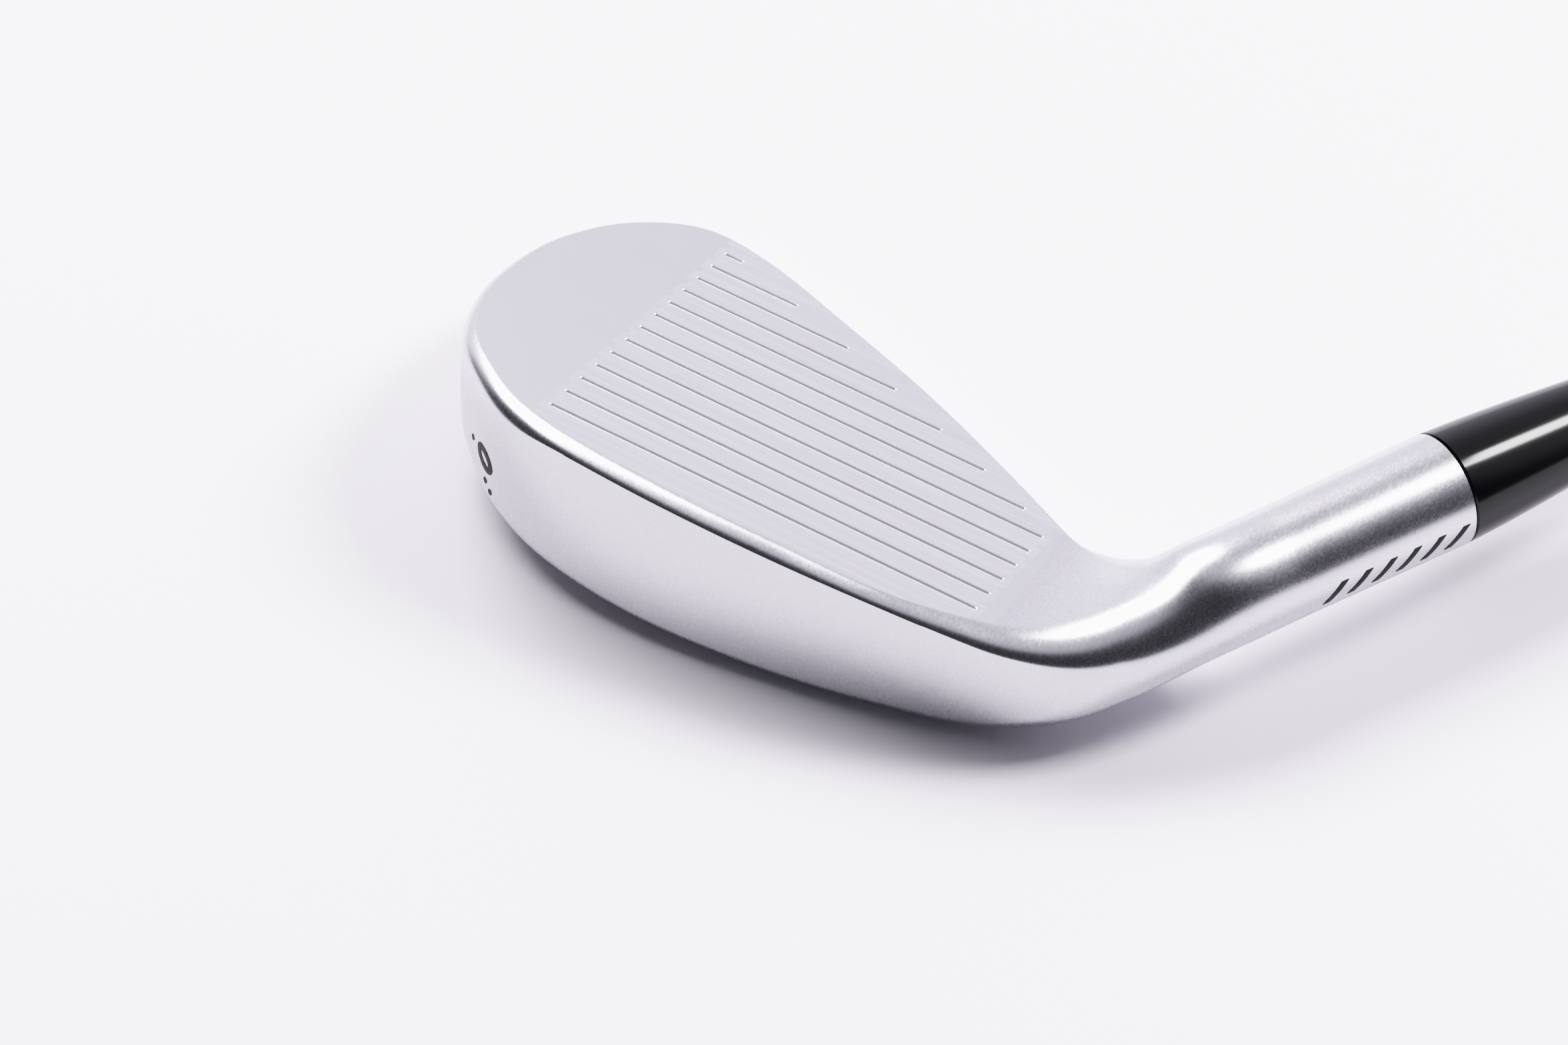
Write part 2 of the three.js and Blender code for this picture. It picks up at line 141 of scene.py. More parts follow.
def weld(thing):
    """Merges equal vertices, drops empty faces and points every face outwards."""
    work = bmesh.new()
    work.from_mesh(thing.data)
    bmesh.ops.remove_doubles(work, verts=work.verts, dist=WELD_DISTANCE)
    bmesh.ops.dissolve_degenerate(work, edges=work.edges, dist=WELD_DISTANCE)
    bare = [edge for edge in work.edges if not edge.link_faces]
    bmesh.ops.delete(work, geom=bare, context="EDGES")
    bmesh.ops.recalc_face_normals(work, faces=work.faces)
    if work.calc_volume(signed=True) < 0:
        bmesh.ops.reverse_faces(work, faces=work.faces)
    work.to_mesh(thing.data)
    work.free()


def smooth(thing, angle):
    """Smooth shading, except over edges that turn by more than the angle in degrees."""
    thing.data.shade_smooth()
    thing.data.set_sharp_from_angle(angle=radians(angle))


def settle(thing):
    """Applies the modifiers to the mesh."""
    bpy.context.view_layer.update()
    graph = bpy.context.evaluated_depsgraph_get()
    result = bpy.data.meshes.new_from_object(thing.evaluated_get(graph))
    thing.modifiers.clear()
    thing.data = result


def flatten(thing, facing):
    """Shades every face that looks the given way as exactly flat."""
    mesh = thing.data
    normals = [corner.vector.copy() for corner in mesh.corner_normals]
    for polygon in mesh.polygons:
        if polygon.normal.dot(facing) > FLAT_ENOUGH:
            for i in polygon.loop_indices:
                normals[i] = facing
    mesh.normals_split_custom_set(normals)


def cut(thing, tools):
    """Subtracts the tools from the thing and removes them."""
    for tool in tools:
        change = thing.modifiers.new("cut", "BOOLEAN")
        change.operation = "DIFFERENCE"
        change.solver = "MANIFOLD"
        change.object = tool
    settle(thing)
    for tool in tools:
        bpy.data.objects.remove(tool)


def loft(rings, closed=True):
    """Points and faces of a solid through closed rings of equal length, with both ends capped."""
    count = len(rings[0])
    points = np.vstack(rings)
    faces = []
    for i in range(len(rings) - 1):
        for j in range(count):
            k = (j + 1) % count
            faces.append((i * count + j, i * count + k, (i + 1) * count + k, (i + 1) * count + j))
    if closed:
        faces.append(tuple(reversed(range(count))))
        faces.append(tuple(range((len(rings) - 1) * count, len(rings) * count)))
    return points, faces


def turned(name, profile, segments=96, relief=None):
    """A closed (distance, radius) line turned about the shaft axis, with its skin lowered by the relief."""
    angles = np.arange(segments) * 2 * pi / segments
    rings = []
    for distance, radius in profile:
        lowered = relief(distance, radius, angles) if relief else 0 * angles
        reach = radius - lowered
        rings.append(np.stack([reach * np.cos(angles), reach * np.sin(angles), 0 * angles + distance], 1))
    rings.append(rings[0])
    points, faces = loft(rings, closed=False)
    thing = new_object(name, points, faces, SHAFT_FRAME)
    weld(thing)
    return thing


def sleeve(outer, inner):
    """The closed line of a tube, from its outer and inner lines, both running towards the butt."""
    return list(outer) + list(reversed(inner))


# ---------------------------------------------------------------- head surface
# The same run of half sections as the CAD head, sampled finely. It starts on top of the hosel, follows the
# sole to the toe and comes back along the top line. Each half section goes from the middle of the face over
# its edge and along the wall to the middle of the back.

# where the half sections meet: the middle of the face and the middle of the back
MIDDLE = {
    "neck": [(70.2, 10.2, 6.6), (71.6, 15.0, -3.6)],
    "heel": [(65.0, 9.2, 2.6), (66.5, 13.2, -6.0)],
    "heel_end": [(58.5, 8.6, 0), (58.5, 13.0, -7.4)],
    "far": [(46, 11, 0), (46, 14.5, -7.8)],
    "middle": [(32, 14, 0), (32, 17, -7.8)],
    "near": [(18, 17, 0), (18, 19.5, -7.8)],
    "toe": [(5, 20, 0), (5, 22, -7.8)],
}


def station(middle, face_edge, back_edge, reach, bulge):
    """A half section: its middles, its two edges, how far the roundings reach, and the bulge of its wall."""
    front, back = MIDDLE[middle]
    return np.array([*front, *face_edge, *back_edge, *back, *reach, bulge], float)


def hosel_station(distance, radius, side):
    """Half of a circle round the shaft axis, on the sole side (-1) or the crotch side (1)."""
    centre = HOSEL_TOP + SHAFT_AXIS * distance
    aside = CROTCH_SIDE * radius * side
    front = centre + TARGET * radius
    back = centre - TARGET * radius
    return np.array([*front, *(front + aside), *(back + aside), *back, *[radius] * 4, 0], float)


HOSEL_STATIONS = [(0, HOSEL_RADIUS), (-11, 6.64), (-22, NECK_RADIUS), (-33, NECK_RADIUS)]

SOLE_RUN = [hosel_station(distance, radius, -1) for distance, radius in HOSEL_STATIONS] + [
    station("neck", (73.4, 3.9, 5.4), (76.2, 6.2, -5.6), (6.8, 4.9, 6.0, 6.0), 0.1),
    station("heel", (67.6, -0.1, 2.4), (71.0, 1.2, -9.8), (6.2, 3.6, 5.0, 5.0), 0.6),
    station("heel_end", (58.9, -3.2, 0), (61.0, 0.2, -15.2), (3.2, 1.9, 3.5, 5.0), 1.0),
    station("far", (46, -5.6, 0), (46, -1.9, -17.8), (1.1, 0.9, 3.0, 4.0), 1.1),
    station("middle", (32, -6.1, 0), (32, -3.2, -19.5), (1.1, 1.1, 3.0, 4.0), 1.2),
    station("near", (18, -6.1, 0), (18, -3.7, -20.1), (1.2, 1.1, 3.0, 4.0), 1.2),
    station("toe", (5, -5.2, 0), (6, -2.4, -19.7), (1.4, 1.2, 3.2, 4.0), 1.1),
]
TOE_RUN = [
    station("toe", (-3, -3.5, 0), (-2.5, 0.9, -18.9), (1.7, 2.0, 3.5, 4.0), 0.9),
    station("toe", (-9, 0.6, 0), (-8.6, 4.9, -16.9), (1.5, 1.9, 3.5, 4.0), 0.8),
    station("toe", (-14.2, 6.4, 0), (-13.2, 10.0, -14.6), (1.2, 1.6, 3.5, 4.0), 0.7),
    station("toe", (-17.0, 14.5, 0), (-15.7, 16.8, -11.8), (0.9, 1.2, 3.0, 3.5), 0.5),
    station("toe", (-17.6, 23.5, 0), (-16.5, 24.0, -9.4), (0.8, 1.0, 2.4, 3.0), 0.4),
    station("toe", (-16.2, 33, 0), (-15.5, 32.6, -8.0), (0.7, 0.9, 2.0, 2.4), 0.3),
    station("toe", (-11.8, 42.2, 0), (-11.3, 41.6, -7.0), (0.7, 0.8, 1.8, 2.0), 0.2),
    station("toe", (-4.4, 48.2, 0), (-4.1, 47.5, -6.6), (0.7, 0.8, 1.6, 2.0), 0.2),
]
TOPLINE_RUN = [
    station("toe", (5, 47.4, 0), (5, 46.6, -6.6), (0.6, 0.8, 1.6, 2.0), 0.2),
    station("near", (18, 42.2, 0), (18, 41.4, -6.5), (0.6, 0.8, 1.6, 2.0), 0.2),
    station("middle", (32, 35.9, 0), (32, 35.1, -6.4), (0.6, 0.8, 1.6, 2.0), 0.2),
    station("far", (46, 28.2, 0), (46, 27.4, -6.3), (0.7, 0.9, 1.6, 2.0), 0.2),
    station("heel_end", (57.6, 21.4, 0), (58.2, 21.2, -6.0), (1.2, 1.6, 2.4, 2.4), 0.2),
    station("heel", (63.2, 19.6, 3.0), (64.0, 20.6, -5.0), (4.2, 3.6, 3.2, 3.2), 0.1),
    station("neck", (66.2, 16.0, 7.4), (66.8, 19.4, -3.2), (6.6, 5.4, 5.4, 5.4), 0),
] + [hosel_station(distance, radius, 1) for distance, radius in reversed(HOSEL_STATIONS)]

STATIONS = SOLE_RUN + TOE_RUN + TOPLINE_RUN
STEPS_PER_STATION = 14
SECTION_STEPS = {"face": 6, "face_edge": 24, "wall": 16, "back_edge": 20, "back": 12}
ARC_HANDLE = 0.5523
SWEEP_HANDLES = (0.33, 0.45)
FULL_WALL = 3
EVEN_UNTIL = 3.6
EVEN_FADE = 1.6
NECK_STATION = 4.5
NECK_REACH = 2.3
NECK_SPREAD = 0.6


def section_at(place):
    """The station values at a place along the run, on a smooth line through all of them."""
    last = len(STATIONS) - 1
    index = min(int(place), last - 1)
    start, end = STATIONS[index], STATIONS[index + 1]
    before = STATIONS[index - 1] if index > 0 else 2 * start - end
    after = STATIONS[index + 2] if index < last - 1 else 2 * end - start
    t = place - index
    values = 0.5 * (
        2 * start + (end - before) * t + (2 * before - 5 * start + 4 * end - after) * t**2
        + (3 * start - before - 3 * end + after) * t**3
    )
    front, face_edge, back_edge, back = values[:12].reshape(4, 3)
    # the face stays flat, and the middle lines end where the toe's half sections meet
    front[2] = max(front[2], 0)
    face_edge[2] = max(face_edge[2], 0)
    for point, end_point in ((front, MIDDLE["toe"][0]), (back, MIDDLE["toe"][1])):
        if point[0] <= end_point[0]:
            point[:2] = end_point[:2]
    return front, face_edge, back_edge, back, values[12:16], values[16]


def bezier(points, steps):
    """Points on a cubic curve, without its last one."""
    t = (np.arange(steps) / steps)[:, None]
    a, b, c, d = points
    return (1 - t)**3 * a + 3 * (1 - t)**2 * t * b + 3 * (1 - t) * t**2 * c + t**3 * d


def line(start, end, steps):
    """Points on a straight line, without its last one."""
    return start + (end - start) * (np.arange(steps) / steps)[:, None]


def rounding(start, corner, end, steps):
    """Points on an arc from start to end, inside the corner."""
    leaving = start + (corner - start) * ARC_HANDLE
    arriving = end + (corner - end) * ARC_HANDLE
    return bezier((start, leaving, arriving, end), steps)


def half_section(place):
    """The points of the half section at a place along the run."""
    front, face_edge, back_edge, back, reach, bulge = section_at(place)
    to_middle, along, to_back = front - face_edge, back_edge - face_edge, back - back_edge
    half_wall = np.linalg.norm(along) / 2
    start = face_edge + unit(to_middle) * min(reach[0], np.linalg.norm(to_middle))
    wall_start = face_edge + unit(along) * min(reach[1], half_wall)
    wall_end = back_edge - unit(along) * min(reach[2], half_wall)
    back_start = back_edge + unit(to_back) * min(reach[3], np.linalg.norm(to_back))
    run = np.linalg.norm(back - back_start)
    flat = unit(np.array([back[0] - back_start[0], back[1] - back_start[1], 0]))
    leaving, arriving = SWEEP_HANDLES
    sweep = (back_start, back_start + unit(to_back) * run * leaving, back - flat * run * arriving, back)
    steps = SECTION_STEPS
    points = np.vstack([
        line(front, start, steps["face"]),
        rounding(start, face_edge, wall_start, steps["face_edge"]),
        line(wall_start, wall_end, steps["wall"]),
        rounding(wall_end, back_edge, back_start, steps["back_edge"]),
        bezier(sweep, steps["back"]),
        back,
    ])
    out = unit(np.cross(np.cross(to_middle, along), along))
    outside = steps["face_edge"] + steps["wall"] + steps["back_edge"]
    share = (np.arange(len(points)) - steps["face"]) / outside
    swell = bulge * min(np.linalg.norm(wall_end - wall_start) / FULL_WALL, 1)
    return points + out * (swell * np.sin(pi * np.clip(share, 0, 1))**2)[:, None]


def spread_points(row, share):
    """Moves the points of a section along it, towards equal spacing by the share."""
    length = np.append(0, np.cumsum(np.linalg.norm(np.diff(row, axis=0), axis=1)))
    wanted = length * (1 - share) + np.linspace(0, length[-1], len(row)) * share
    return np.column_stack([np.interp(wanted, length, row[:, k]) for k in range(3)])


def fair_neck(rows):
    """Evens out the neck, where the sections turn from the blade into the hosel."""
    last = len(rows) - 1
    index = np.arange(last + 1)
    hosel_way = np.minimum(index, last - index) / STEPS_PER_STATION
    shares = np.clip(1 - (hosel_way - EVEN_UNTIL) / EVEN_FADE, 0, 1)
    shares = shares**2 * (3 - 2 * shares)
    rows = np.array([spread_points(row, share) for row, share in zip(rows, shares)])
    even = rows.copy()
    for i in index:
        share = 1 - abs(hosel_way[i] - NECK_STATION) / NECK_REACH
        if share > 0:
            spread = NECK_SPREAD * STEPS_PER_STATION * share
            weight = np.exp(-0.5 * ((index - i) / spread)**2)
            even[i] = np.tensordot(weight / weight.sum(), rows, 1)
    return even


def head_rows():
    count = (len(STATIONS) - 1) * STEPS_PER_STATION
    return fair_neck(np.array([half_section(i / STEPS_PER_STATION) for i in range(count + 1)]))


def head_skin(rows):
    """The closed skin through the half sections."""
    count, width = rows.shape[:2]
    faces = [
        (i * width + j, i * width + j + 1, (i + 1) * width + j + 1, (i + 1) * width + j)
        for i in range(count - 1) for j in range(width - 1)
    ]
    # the top of the hosel closes the two ends of the run
    rim = list(range(width)) + [(count - 1) * width + j for j in range(width - 2, 0, -1)]
    faces.append(tuple(rim))
    thing = new_object("club_head", rows.reshape(-1, 3), faces, HEAD)
    weld(thing)
    return thing


# ---------------------------------------------------------------- cuts in the head

GROOVE_END_STEPS = 10


def stadium(length, radius):
    """The outline of a groove: straight sides with round ends, centred half its width from its end points."""
    angles = np.linspace(-pi / 2, pi / 2, GROOVE_END_STEPS)
    half = GROOVE_WIDTH / 2
    right = np.stack([length - half + radius * np.cos(angles), radius * np.sin(angles)], 1)
    left = np.stack([half - radius * np.cos(angles), -radius * np.sin(angles)], 1)
    return np.vstack([right, left])


def groove_cut(index):
    length = FULL_GROOVE_LENGTH if index < FULL_GROOVES else SHORT_GROOVES[index - FULL_GROOVES]
    rings = []
    for height, radius in GROOVE_PROFILE:
        flat = stadium(length, radius)
        flat[:, 1] += index * GROOVE_PITCH
        rings.append(np.column_stack([flat, np.full(len(flat), height)]))
    thing = new_object("groove", *loft(rings), HEAD)
    weld(thing)
    return thing


CORNER_STEPS = 8
SMALLEST_CORNER = 0.5
NARROWEST_TURN = 0.3


def rounded_outline(corners, radius, inset):
    """A closed outline with rounded corners, moved inwards by inset."""
    corners = np.array(corners, float)
    count = len(corners)
    sides = [unit(corners[(i + 1) % count] - corners[i]) for i in range(count)]
    moved = []
    for i in range(count):
        before, after = sides[i - 1], sides[i]
        square = np.array([-after[1], after[0]])
        inward = unit(np.array([-before[1], before[0]]) + square)
        moved.append(corners[i] + inward * inset / max(inward @ square, NARROWEST_TURN))
    reach = max(radius - inset, SMALLEST_CORNER)
    points = []
    for i in range(count):
        corner = moved[i]
        enter = corner - sides[i - 1] * reach
        leave = corner + sides[i] * reach
        for t in np.linspace(0, 1, CORNER_STEPS):
            points.append((1 - t)**2 * enter + 2 * (1 - t) * t * corner + t**2 * leave)
    return np.array(points)


CAVITY_FILLET = 1.6
FILLET_STEPS = 7
CAVITY_MOUTH = (-30, -2.0)


def cavity_cut():
    """The hollow in the back: a flat floor, a fillet round it, and walls that open out to the mouth."""
    levels = []
    for angle in np.linspace(0, 1, FILLET_STEPS) * pi / 2:
        levels.append((CAVITY_FLOOR - CAVITY_FILLET * (1 - cos(angle)), CAVITY_FILLET * (1 - sin(angle))))
    levels.append(CAVITY_MOUTH)
    rings = []
    for height, inset in reversed(levels):
        flat = rounded_outline(CAVITY_OUTLINE, CAVITY_CORNER, inset)
        rings.append(np.column_stack([flat, np.full(len(flat), height)]))
    thing = new_object("cavity", *loft(rings), HEAD)
    weld(thing)
    return thing


BORE_CHAMFER = 0.4
PAST_THE_TOP = 1


def bore_cut():
    """The hole for the shaft tip, with a chamfered mouth."""
    profile = [
        (-BORE_DEPTH, 0), (-BORE_DEPTH, BORE_RADIUS), (-BORE_CHAMFER, BORE_RADIUS),
        (0, BORE_RADIUS + BORE_CHAMFER),
        (PAST_THE_TOP, BORE_RADIUS + PAST_THE_TOP + BORE_CHAMFER), (PAST_THE_TOP, 0),
    ]
    return turned("bore", profile, segments=72)


# ---------------------------------------------------------------- materials

LAVENDER = (0.985, 0.972, 1.02)


def lavender(value):
    """A grey with a faint lavender tint."""
    return (*(value * share for share in LAVENDER), 1)


class Look:
    """A small builder for one procedural material, in the coordinates of a frame such as HEAD."""

    def __init__(self, name, frame_matrix):
        self.material = bpy.data.materials.new(name)
        self.material.use_nodes = True
        self.nodes = self.material.node_tree.nodes
        self.links = self.material.node_tree.links
        self.shader = self.nodes["Principled BSDF"]
        coordinates = self.add("ShaderNodeTexCoord")
        self.position = self.in_frame(coordinates.outputs["Object"], frame_matrix, frame_matrix.translation)
        self.normal = self.in_frame(coordinates.outputs["Normal"], frame_matrix, Vector())

    def in_frame(self, vector, frame_matrix, place):
        node = self.add("ShaderNodeMapping", vector_type="TEXTURE")
        node.inputs["Location"].default_value = place
        node.inputs["Rotation"].default_value = frame_matrix.to_euler()
        self.links.new(vector, node.inputs["Vector"])
        return node.outputs[0]

    def add(self, kind, **settings):
        node = self.nodes.new(kind)
        for key, value in settings.items():
            setattr(node, key, value)
        return node

    def feed(self, socket, value):
        if isinstance(value, bpy.types.NodeSocket):
            self.links.new(value, socket)
        else:
            socket.default_value = value

    def math(self, operation, first, second):
        node = self.add("ShaderNodeMath", operation=operation)
        for socket, value in zip(node.inputs, (first, second)):
            self.feed(socket, value)
        return node.outputs[0]

    def axes(self, vector):
        node = self.add("ShaderNodeSeparateXYZ")
        self.feed(node.inputs[0], vector)
        return node.outputs

    def noise(self, scale, stretch=(1, 1, 1), detail=3.0, rough=0.55):
        """Noise with a grain of about 1 / scale mm, stretched along each axis."""
        mapping = self.add("ShaderNodeMapping")
        self.feed(mapping.inputs["Vector"], self.position)
        mapping.inputs["Scale"].default_value = tuple(scale / (MM * s) for s in stretch)
        node = self.add("ShaderNodeTexNoise")
        node.inputs["Scale"].default_value = 1.0
        node.inputs["Detail"].default_value = detail
        node.inputs["Roughness"].default_value = rough
        self.links.new(mapping.outputs[0], node.inputs["Vector"])
        return node.outputs["Fac"]

    def remap(self, value, low, high, to_low=0.0, to_high=1.0, kind="SMOOTHSTEP"):
        node = self.add("ShaderNodeMapRange", interpolation_type=kind)
        for socket, number in zip(list(node.inputs)[:5], (value, low, high, to_low, to_high)):
            self.feed(socket, number)
        return node.outputs[0]

    def mix(self, share, first, second):
        node = self.add("ShaderNodeMix", data_type="RGBA")
        self.feed(node.inputs["Factor"], share)
        self.feed(node.inputs["A"], first)
        self.feed(node.inputs["B"], second)
        return next(out for out in node.outputs if out.type == "RGBA")

    def blend(self, share, first, second):
        node = self.add("ShaderNodeMix", data_type="FLOAT")
        self.feed(node.inputs["Factor"], share)
        self.feed(node.inputs[2], first)
        self.feed(node.inputs[3], second)
        return node.outputs[0]

    def bump(self, height, depth_mm, strength=1.0):
        node = self.add("ShaderNodeBump")
        self.feed(node.inputs["Strength"], strength)
        node.inputs["Distance"].default_value = depth_mm * MM
        self.feed(node.inputs["Height"], height)
        return node.outputs[0]

    def set(self, **values):
        for key, value in values.items():
            self.feed(self.shader.inputs[key.replace("_", " ")], value)
        return self.material


def soft_step(look, value, place, soft):
    """0 below the place and 1 above it, with a soft edge."""
    return look.remap(value, place - soft, place + soft)


def band(look, value, low, high, soft):
    """1 between low and high, 0 outside, with soft edges."""
    rise = soft_step(look, value, low, soft)
    fall = soft_step(look, value, high, soft)
    return look.math("SUBTRACT", rise, fall)


FACE_LEVEL = 0.03
FACE_SOFT = 0.01
FACE_FACING = (0.995, 0.999)
FIELD_TOE = -0.18
FIELD_HEEL = 54.59
FIELD_BOTTOM = -4.5
FIELD_SOFT = 0.04
FIELD_BOTTOM_SOFT = 0.1
TOOTH_PHASE = 5.5 * GROOVE_PITCH
TOOTH_FLANK = (0.25, 0.6)
TOOTH_LENGTH = 0.65
GROOVE_LEVELS = (-0.6, -0.05)
GROOVES_ALONG = (-0.2, 54.7)
GROOVES_FROM = (-0.6, -0.5)


def head_steel():
    look = Look("forged_steel", HEAD)
    x, y, z = look.axes(look.position)
    outward = look.axes(look.normal)[2]

    # the flat of the face, and on it the milled field, with a tooth at both ends of each score line
    level = band(look, z, -FACE_LEVEL * MM, FACE_LEVEL * MM, FACE_SOFT * MM)
    facing = look.remap(outward, *FACE_FACING)
    face = look.math("MULTIPLY", level, facing)
    tooth = look.math("PINGPONG", look.math("ADD", y, TOOTH_PHASE * MM), GROOVE_PITCH / 2 * MM)
    root, tip = TOOTH_FLANK
    shift = look.remap(tooth, root * MM, tip * MM, 0.0, TOOTH_LENGTH * MM, "LINEAR")
    left = soft_step(look, look.math("ADD", x, shift), FIELD_TOE * MM, FIELD_SOFT * MM)
    right = soft_step(look, look.math("SUBTRACT", x, shift), FIELD_HEEL * MM, FIELD_SOFT * MM)
    lower = soft_step(look, y, FIELD_BOTTOM * MM, FIELD_BOTTOM_SOFT * MM)
    milled = look.math("MULTIPLY", look.math("MULTIPLY", face, lower), look.math("SUBTRACT", left, right))

    # grain: fine blasting, milling lines along the score lines, brushing elsewhere
    blast = look.noise(5.0, detail=2.0, rough=0.6)
    cloud = look.noise(0.06, detail=2.0)
    fine_lines = look.noise(4.0, stretch=(60, 1, 1), detail=3.0, rough=0.65)
    pass_lines = look.noise(0.9, stretch=(60, 1, 1), detail=1.0)
    brushed = look.noise(4.5, stretch=(1, 3.2, 1.3), detail=3.0, rough=0.6)
    worn = look.noise(0.25, detail=3.0)

    lines = look.math("ADD", look.math("MULTIPLY", fine_lines, 0.6), look.math("MULTIPLY", pass_lines, 0.4))
    plain = look.mix(cloud, lavender(0.58), lavender(0.62))
    field = look.mix(look.remap(lines, 0.35, 0.65), lavender(0.66), lavender(0.78))
    body = look.mix(look.remap(brushed, 0.3, 0.7), lavender(0.66), lavender(0.71))
    colour = look.mix(milled, look.mix(face, body, plain), field)

    body_rough = look.remap(brushed, 0.3, 0.7, 0.225, 0.28, "LINEAR")
    body_rough = look.math("ADD", body_rough, look.remap(worn, 0.3, 0.8, 0.0, 0.03, "LINEAR"))
    rough = look.blend(milled, look.blend(face, body_rough, 0.42), look.remap(lines, 0.3, 0.7, 0.36, 0.30))
    height = look.blend(milled, look.blend(face, brushed, blast), lines)
    depth = look.bump(height, 0.010, look.blend(look.math("MAXIMUM", face, milled), 0.105, 0.6))

    # inside the grooves the steel is matt, unlike the rest
    deep = band(look, z, GROOVE_LEVELS[0] * MM, GROOVE_LEVELS[1] * MM, FACE_SOFT * MM)
    along = band(look, x, GROOVES_ALONG[0] * MM, GROOVES_ALONG[1] * MM, FACE_SOFT * MM)
    above = look.remap(y, GROOVES_FROM[0] * MM, GROOVES_FROM[1] * MM)
    groove = look.math("MULTIPLY", look.math("MULTIPLY", deep, along), above)
    colour = look.mix(groove, colour, lavender(0.66))
    rough = look.blend(groove, rough, 0.45)
    metal = look.blend(groove, 1.0, 0.84)
    return look.set(Base_Color=colour, Metallic=metal, Roughness=rough, Normal=depth)


def ferrule_plastic():
    look = Look("ferrule_black", SHAFT_FRAME)
    haze = look.noise(0.15, stretch=(1, 1, 6), detail=3.0)
    scuff = look.noise(2.0, stretch=(1, 1, 5), detail=4.0, rough=0.7)
    colour = look.mix(haze, (0.001, 0.001, 0.0011, 1), (0.002, 0.002, 0.0022, 1))
    rough = look.remap(haze, 0.3, 0.75, 0.12, 0.17, "LINEAR")
    return look.set(Base_Color=colour, Roughness=rough, IOR=1.45, Normal=look.bump(scuff, 0.0006, 0.3))


def shaft_chrome():
    look = Look("plated_steel", SHAFT_FRAME)
    drawn = look.noise(1.5, stretch=(1, 1, 80), detail=3.0)
    smudge = look.noise(0.04, stretch=(1, 1, 3), detail=3.0)
    colour = look.mix(drawn, lavender(0.80), lavender(0.86))
    rough = look.remap(smudge, 0.3, 0.8, 0.07, 0.16, "LINEAR")
    return look.set(Base_Color=colour, Metallic=1.0, Roughness=rough, Normal=look.bump(drawn, 0.003, 0.4))


def grip_rubber():
    look = Look("moulded_rubber", SHAFT_FRAME)
    grain = look.noise(4.0, detail=4.0, rough=0.7)
    cloud = look.noise(0.05, detail=3.0)
    colour = look.mix(cloud, (0.012, 0.012, 0.0125, 1), (0.022, 0.022, 0.023, 1))
    rough = look.remap(cloud, 0.3, 0.75, 0.58, 0.74, "LINEAR")
    return look.set(Base_Color=colour, Roughness=rough, Normal=look.bump(grain, 0.05, 0.5))


def simple_look(name, dark, light, rough, scale, metal=0.0):
    """A plain material whose colour and roughness vary a little with its grain."""
    look = Look(name, SHAFT_FRAME)
    grain = look.noise(scale, detail=4.0)
    colour = look.mix(look.remap(grain, 0.3, 0.7), (*dark, 1), (*light, 1))
    roughness = look.remap(grain, 0.3, 0.7, rough * 0.85, rough * 1.1, "LINEAR")
    bumps = look.bump(grain, 0.01, 0.5)
    return look.set(Base_Color=colour, Metallic=metal, Roughness=roughness, Normal=bumps)


def dress(thing, material):
    thing.data.materials.clear()
    thing.data.materials.append(material)


# ---------------------------------------------------------------- head

def build_head():
    head = head_skin(head_rows())
    cut(head, [bore_cut(), cavity_cut()] + [groove_cut(i) for i in range(GROOVE_COUNT)])
    smooth(head, 24)
    weighted = head.modifiers.new("normals", "WEIGHTED_NORMAL")
    weighted.keep_sharp = True
    settle(head)
    flatten(head, (HEAD.to_3x3() @ Vector((0, 0, 1))).normalized())
    dress(head, head_steel())
    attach(head, "root")
    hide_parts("head")
    return head


# ---------------------------------------------------------------- painted marks
# Plain generic marks: a ring with dots near the toe of the sole, and slanted dashes along the hosel.

PAINT_LOW = 0.02
PAINT_HIGH = 0.05
TOE_RING = (-5.87, 0.0, -10.6)
TOE_RING_LONG = (0.764, -0.39, -0.5)
TOE_RING_NORMAL = (-0.57, -0.78, -0.26)
TOE_RING_HALF = (2.05, 1.5)
TOE_RING_LINE = 0.95
TOE_DOTS = [(-8.8, 2.1, -10.2), (-5.4, 0.6, -13.7), (-4.3, 0.2, -14.6)]
TOE_DOT_RADIUS = 0.4
DASH_COUNT = 6
DASH_FIRST = -20.6
DASH_PITCH = 3.3
DASH_LENGTH = 2.3
DASH_WIDTH = 0.95
DASH_ANGLES = (radians(188), radians(165))
RING_STEPS = 48
PATCH_STEPS = 9
PATCH_ROWS = 3


def mark_paint():
    look = Look("mark_paint", HEAD)
    grain = look.noise(3.0, detail=3.0)
    colour = look.mix(grain, (0.004, 0.004, 0.0045, 1), (0.012, 0.012, 0.013, 1))
    rough = look.remap(grain, 0.3, 0.7, 0.4, 0.55)
    return look.set(Base_Color=colour, Roughness=rough, IOR=1.35, Normal=look.bump(grain, 0.01, 0.3))


def paint_patch(name, places, outward, material, wrapped=False):
    """A thin closed skin of paint over a grid of places on the surface."""
    rings = [
        np.vstack([row + normal * PAINT_LOW, (row + normal * PAINT_HIGH)[::-1]])
        for row, normal in zip(places, outward)
    ]
    if wrapped:
        rings.append(rings[0])
    patch = new_object(name, *loft(rings, closed=not wrapped), HEAD)
    weld(patch)
    dress(patch, material)
    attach(patch, "root")


def on_surface(head, places):
    """The nearest places on the head and the way its surface faces there, in the head frame."""
    back = HEAD.inverted()
    spots, facings = [], []
    for place in places:
        spot, facing = head.closest_point_on_mesh(HEAD @ (Vector(place) * MM))[1:3]
        spots.append(np.array(back @ spot) / MM)
        facings.append(np.array(back.to_3x3() @ facing))
    return np.array(spots), np.array(facings)


